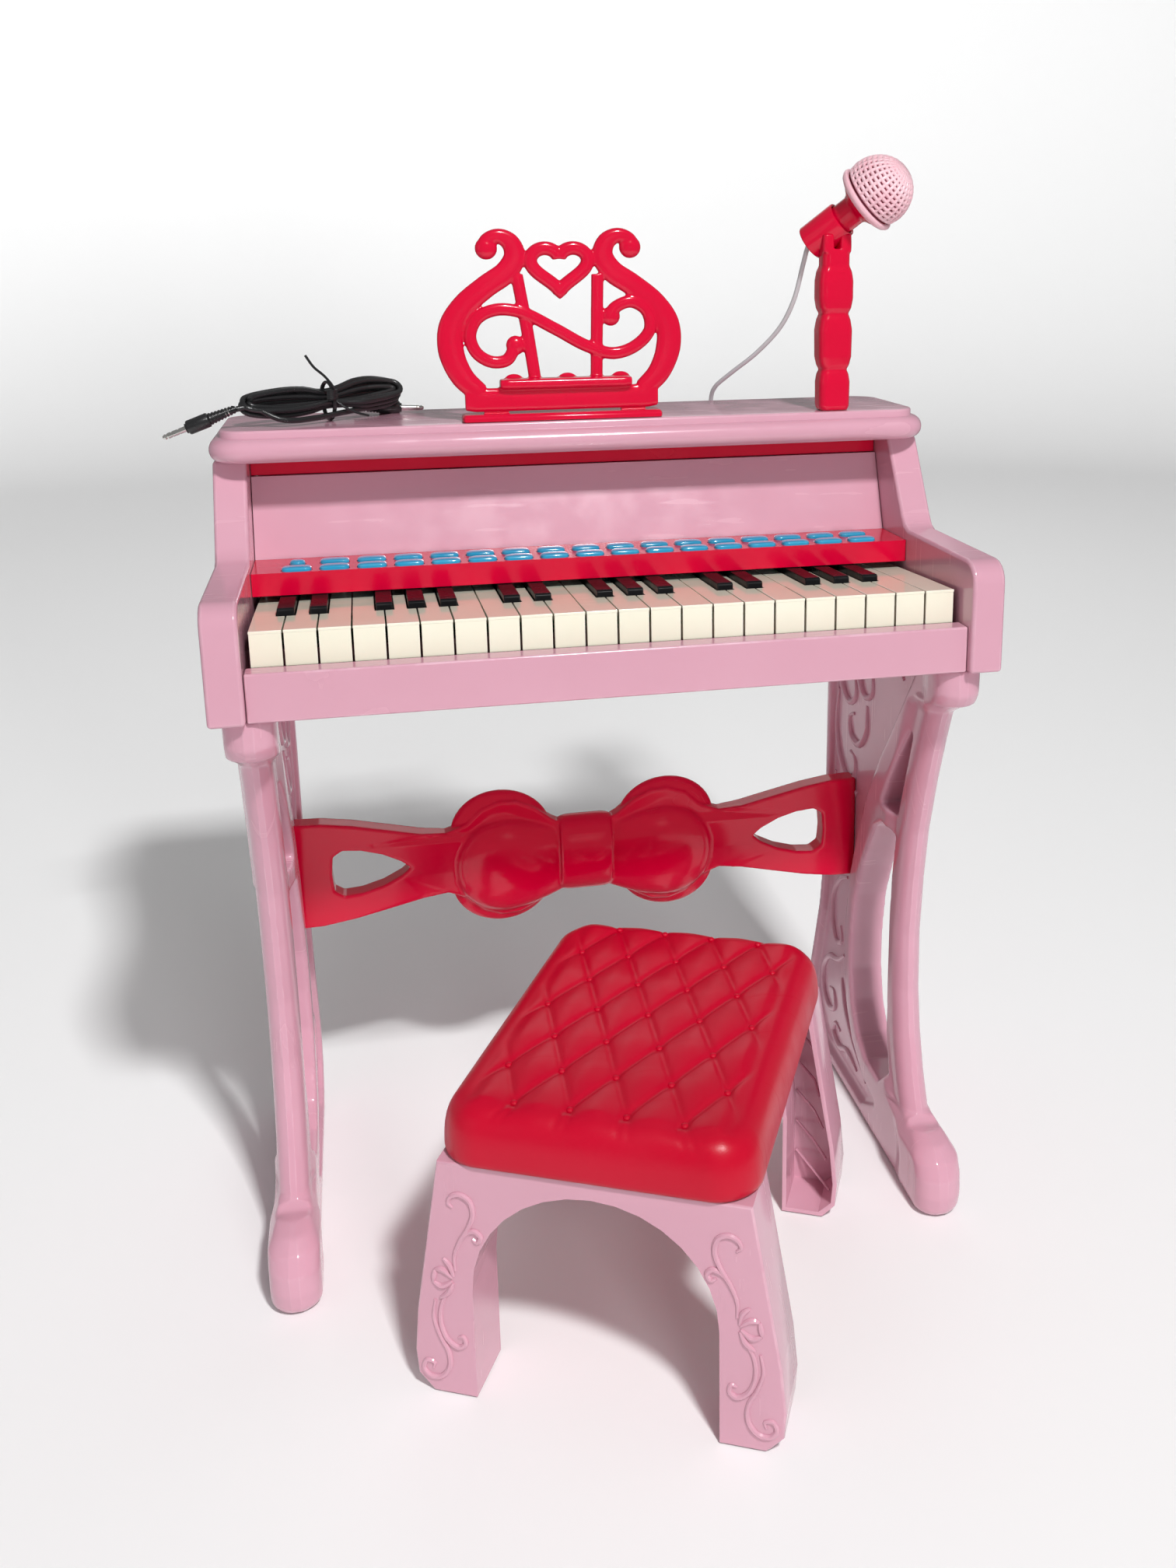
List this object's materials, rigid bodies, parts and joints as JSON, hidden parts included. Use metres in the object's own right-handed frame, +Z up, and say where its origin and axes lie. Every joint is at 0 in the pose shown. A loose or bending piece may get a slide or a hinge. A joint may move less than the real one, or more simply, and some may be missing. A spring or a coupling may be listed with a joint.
{
  "type": "toy electronic keyboard",
  "caption": "Pink toy electronic keyboard shaped like an upright piano, with fold-down music rest, pull-out microphone, bow brace, scrolled legs and matching stool.",
  "frame": {"origin": "on the floor, under the middle of the footprint of the piano and its stool, cords left out", "axes": "+X to the player's right along the keys, +Y from the player to the back of the piano, +Z up"},
  "size_m": [0.4671, 0.4134, 0.6573],
  "materials": {
    "pale_pink_plastic": "glossy injection-moulded plastic",
    "crimson_plastic": "glossy injection-moulded plastic",
    "seat_covering": "satin quilted moulding",
    "ivory_plastic": "satin plastic",
    "black_gloss": "polished plastic",
    "cyan_plastic": "polished plastic",
    "black_cable": "flexible cable and moulded plugs",
    "white_cord": "flexible cable",
    "grille_pink": "moulded lattice",
    "dark_plastic": "textured plastic",
    "circuit_board": "solder-masked board"
  },
  "bodies": {
    "console": {"cheek_left": "pale_pink_plastic", "cheek_right": "pale_pink_plastic", "key_slip": "pale_pink_plastic", "bottom_tray": "pale_pink_plastic", "back_cover": "pale_pink_plastic", "battery_door": "pale_pink_plastic", "fallboard": "pale_pink_plastic", "lid": "pale_pink_plastic", "leg_left": "pale_pink_plastic", "leg_right": "pale_pink_plastic", "control_panel": "crimson_plastic", "upper_rail": "crimson_plastic", "music_rest_base": "crimson_plastic", "mic_post": "crimson_plastic", "bow_brace": "crimson_plastic", "audio_lead_hank": "black_cable", "audio_plug_a": "black_cable", "audio_plug_b": "black_cable", "mic_plug": "black_cable", "speaker": "dark_plastic", "battery_box": "dark_plastic", "circuit_board": "circuit_board", "mic_cord": "white_cord"},
    "music_rest": {"music_rest": "crimson_plastic"},
    "microphone": {"mic_body": "crimson_plastic", "mic_grille": "grille_pink"},
    "stool": {"stool_seat": "seat_covering", "stool_frame_near": "pale_pink_plastic", "stool_frame_far": "pale_pink_plastic"},
    "front_buttons": {"front_button_row": "cyan_plastic"},
    "rear_buttons": {"rear_button_row": "cyan_plastic"},
    "power_button": {"power_button": "cyan_plastic"},
    "black_keys_1": {"black_keys_1": "black_gloss"},
    "black_keys_2": {"black_keys_2": "black_gloss"},
    "black_keys_3": {"black_keys_3": "black_gloss"},
    "black_keys_4": {"black_keys_4": "black_gloss"},
    "black_keys_5": {"black_keys_5": "black_gloss"},
    "black_keys_6": {"black_keys_6": "black_gloss"},
    "white_key_01": {"white_key_01": "ivory_plastic"},
    "white_key_02": {"white_key_02": "ivory_plastic"},
    "white_key_03": {"white_key_03": "ivory_plastic"},
    "white_key_04": {"white_key_04": "ivory_plastic"},
    "white_key_05": {"white_key_05": "ivory_plastic"},
    "white_key_06": {"white_key_06": "ivory_plastic"},
    "white_key_07": {"white_key_07": "ivory_plastic"},
    "white_key_08": {"white_key_08": "ivory_plastic"},
    "white_key_09": {"white_key_09": "ivory_plastic"},
    "white_key_10": {"white_key_10": "ivory_plastic"},
    "white_key_11": {"white_key_11": "ivory_plastic"},
    "white_key_12": {"white_key_12": "ivory_plastic"},
    "white_key_13": {"white_key_13": "ivory_plastic"},
    "white_key_14": {"white_key_14": "ivory_plastic"},
    "white_key_15": {"white_key_15": "ivory_plastic"},
    "white_key_16": {"white_key_16": "ivory_plastic"},
    "white_key_17": {"white_key_17": "ivory_plastic"},
    "white_key_18": {"white_key_18": "ivory_plastic"},
    "white_key_19": {"white_key_19": "ivory_plastic"},
    "white_key_20": {"white_key_20": "ivory_plastic"},
    "white_key_21": {"white_key_21": "ivory_plastic"},
    "white_key_22": {"white_key_22": "ivory_plastic"}
  },
  "joints": [
    {"name": "music_rest_fold", "type": "hinge", "parent": "console", "child": "music_rest", "pos_m": [-0.0116, 0.08734, 0.51], "axis": [-1, 0, 0], "range_deg": [0, 82]},
    {"name": "microphone_pull", "type": "slide", "parent": "console", "child": "microphone", "axis": [0.633, -0.5179, 0.5754], "range_m": [0, 0.06]},
    {"name": "stool_place", "type": "slide", "parent": "console", "child": "stool", "axis": [0, -1, 0], "range_m": [0, 0.15]},
    {"name": "front_buttons_press", "type": "slide", "parent": "console", "child": "front_buttons", "axis": [0, 0, -1], "range_m": [0, 0.0015], "stiffness_N_per_m": 700, "springref_m": -0.002},
    {"name": "rear_buttons_press", "type": "slide", "parent": "console", "child": "rear_buttons", "axis": [0, 0, -1], "range_m": [0, 0.0015], "stiffness_N_per_m": 700, "springref_m": -0.002},
    {"name": "power_button_press", "type": "slide", "parent": "console", "child": "power_button", "axis": [0, 0, -1], "range_m": [0, 0.0015], "stiffness_N_per_m": 150, "springref_m": -0.002},
    {"name": "black_keys_1_press", "type": "hinge", "parent": "console", "child": "black_keys_1", "pos_m": [0, 0.11934, 0.396], "axis": [1, 0, 0], "range_deg": [0, 2.6], "stiffness_Nm_per_rad": 1, "springref_deg": -3.44},
    {"name": "black_keys_2_press", "type": "hinge", "parent": "console", "child": "black_keys_2", "pos_m": [0, 0.11934, 0.396], "axis": [1, 0, 0], "range_deg": [0, 2.6], "stiffness_Nm_per_rad": 1, "springref_deg": -3.44},
    {"name": "black_keys_3_press", "type": "hinge", "parent": "console", "child": "black_keys_3", "pos_m": [0, 0.11934, 0.396], "axis": [1, 0, 0], "range_deg": [0, 2.6], "stiffness_Nm_per_rad": 1, "springref_deg": -3.44},
    {"name": "black_keys_4_press", "type": "hinge", "parent": "console", "child": "black_keys_4", "pos_m": [0, 0.11934, 0.396], "axis": [1, 0, 0], "range_deg": [0, 2.6], "stiffness_Nm_per_rad": 1, "springref_deg": -3.44},
    {"name": "black_keys_5_press", "type": "hinge", "parent": "console", "child": "black_keys_5", "pos_m": [0, 0.11934, 0.396], "axis": [1, 0, 0], "range_deg": [0, 2.6], "stiffness_Nm_per_rad": 1, "springref_deg": -3.44},
    {"name": "black_keys_6_press", "type": "hinge", "parent": "console", "child": "black_keys_6", "pos_m": [0, 0.11934, 0.396], "axis": [1, 0, 0], "range_deg": [0, 2.6], "stiffness_Nm_per_rad": 1, "springref_deg": -3.44},
    {"name": "white_key_01_press", "type": "hinge", "parent": "console", "child": "white_key_01", "pos_m": [0, 0.11934, 0.396], "axis": [1, 0, 0], "range_deg": [0, 2.6], "stiffness_Nm_per_rad": 1, "springref_deg": -3.44},
    {"name": "white_key_02_press", "type": "hinge", "parent": "console", "child": "white_key_02", "pos_m": [0, 0.11934, 0.396], "axis": [1, 0, 0], "range_deg": [0, 2.6], "stiffness_Nm_per_rad": 1, "springref_deg": -3.44},
    {"name": "white_key_03_press", "type": "hinge", "parent": "console", "child": "white_key_03", "pos_m": [0, 0.11934, 0.396], "axis": [1, 0, 0], "range_deg": [0, 2.6], "stiffness_Nm_per_rad": 1, "springref_deg": -3.44},
    {"name": "white_key_04_press", "type": "hinge", "parent": "console", "child": "white_key_04", "pos_m": [0, 0.11934, 0.396], "axis": [1, 0, 0], "range_deg": [0, 2.6], "stiffness_Nm_per_rad": 1, "springref_deg": -3.44},
    {"name": "white_key_05_press", "type": "hinge", "parent": "console", "child": "white_key_05", "pos_m": [0, 0.11934, 0.396], "axis": [1, 0, 0], "range_deg": [0, 2.6], "stiffness_Nm_per_rad": 1, "springref_deg": -3.44},
    {"name": "white_key_06_press", "type": "hinge", "parent": "console", "child": "white_key_06", "pos_m": [0, 0.11934, 0.396], "axis": [1, 0, 0], "range_deg": [0, 2.6], "stiffness_Nm_per_rad": 1, "springref_deg": -3.44},
    {"name": "white_key_07_press", "type": "hinge", "parent": "console", "child": "white_key_07", "pos_m": [0, 0.11934, 0.396], "axis": [1, 0, 0], "range_deg": [0, 2.6], "stiffness_Nm_per_rad": 1, "springref_deg": -3.44},
    {"name": "white_key_08_press", "type": "hinge", "parent": "console", "child": "white_key_08", "pos_m": [0, 0.11934, 0.396], "axis": [1, 0, 0], "range_deg": [0, 2.6], "stiffness_Nm_per_rad": 1, "springref_deg": -3.44},
    {"name": "white_key_09_press", "type": "hinge", "parent": "console", "child": "white_key_09", "pos_m": [0, 0.11934, 0.396], "axis": [1, 0, 0], "range_deg": [0, 2.6], "stiffness_Nm_per_rad": 1, "springref_deg": -3.44},
    {"name": "white_key_10_press", "type": "hinge", "parent": "console", "child": "white_key_10", "pos_m": [0, 0.11934, 0.396], "axis": [1, 0, 0], "range_deg": [0, 2.6], "stiffness_Nm_per_rad": 1, "springref_deg": -3.44},
    {"name": "white_key_11_press", "type": "hinge", "parent": "console", "child": "white_key_11", "pos_m": [0, 0.11934, 0.396], "axis": [1, 0, 0], "range_deg": [0, 2.6], "stiffness_Nm_per_rad": 1, "springref_deg": -3.44},
    {"name": "white_key_12_press", "type": "hinge", "parent": "console", "child": "white_key_12", "pos_m": [0, 0.11934, 0.396], "axis": [1, 0, 0], "range_deg": [0, 2.6], "stiffness_Nm_per_rad": 1, "springref_deg": -3.44},
    {"name": "white_key_13_press", "type": "hinge", "parent": "console", "child": "white_key_13", "pos_m": [0, 0.11934, 0.396], "axis": [1, 0, 0], "range_deg": [0, 2.6], "stiffness_Nm_per_rad": 1, "springref_deg": -3.44},
    {"name": "white_key_14_press", "type": "hinge", "parent": "console", "child": "white_key_14", "pos_m": [0, 0.11934, 0.396], "axis": [1, 0, 0], "range_deg": [0, 2.6], "stiffness_Nm_per_rad": 1, "springref_deg": -3.44},
    {"name": "white_key_15_press", "type": "hinge", "parent": "console", "child": "white_key_15", "pos_m": [0, 0.11934, 0.396], "axis": [1, 0, 0], "range_deg": [0, 2.6], "stiffness_Nm_per_rad": 1, "springref_deg": -3.44},
    {"name": "white_key_16_press", "type": "hinge", "parent": "console", "child": "white_key_16", "pos_m": [0, 0.11934, 0.396], "axis": [1, 0, 0], "range_deg": [0, 2.6], "stiffness_Nm_per_rad": 1, "springref_deg": -3.44},
    {"name": "white_key_17_press", "type": "hinge", "parent": "console", "child": "white_key_17", "pos_m": [0, 0.11934, 0.396], "axis": [1, 0, 0], "range_deg": [0, 2.6], "stiffness_Nm_per_rad": 1, "springref_deg": -3.44},
    {"name": "white_key_18_press", "type": "hinge", "parent": "console", "child": "white_key_18", "pos_m": [0, 0.11934, 0.396], "axis": [1, 0, 0], "range_deg": [0, 2.6], "stiffness_Nm_per_rad": 1, "springref_deg": -3.44},
    {"name": "white_key_19_press", "type": "hinge", "parent": "console", "child": "white_key_19", "pos_m": [0, 0.11934, 0.396], "axis": [1, 0, 0], "range_deg": [0, 2.6], "stiffness_Nm_per_rad": 1, "springref_deg": -3.44},
    {"name": "white_key_20_press", "type": "hinge", "parent": "console", "child": "white_key_20", "pos_m": [0, 0.11934, 0.396], "axis": [1, 0, 0], "range_deg": [0, 2.6], "stiffness_Nm_per_rad": 1, "springref_deg": -3.44},
    {"name": "white_key_21_press", "type": "hinge", "parent": "console", "child": "white_key_21", "pos_m": [0, 0.11934, 0.396], "axis": [1, 0, 0], "range_deg": [0, 2.6], "stiffness_Nm_per_rad": 1, "springref_deg": -3.44},
    {"name": "white_key_22_press", "type": "hinge", "parent": "console", "child": "white_key_22", "pos_m": [0, 0.11934, 0.396], "axis": [1, 0, 0], "range_deg": [0, 2.6], "stiffness_Nm_per_rad": 1, "springref_deg": -3.44}
  ]
}
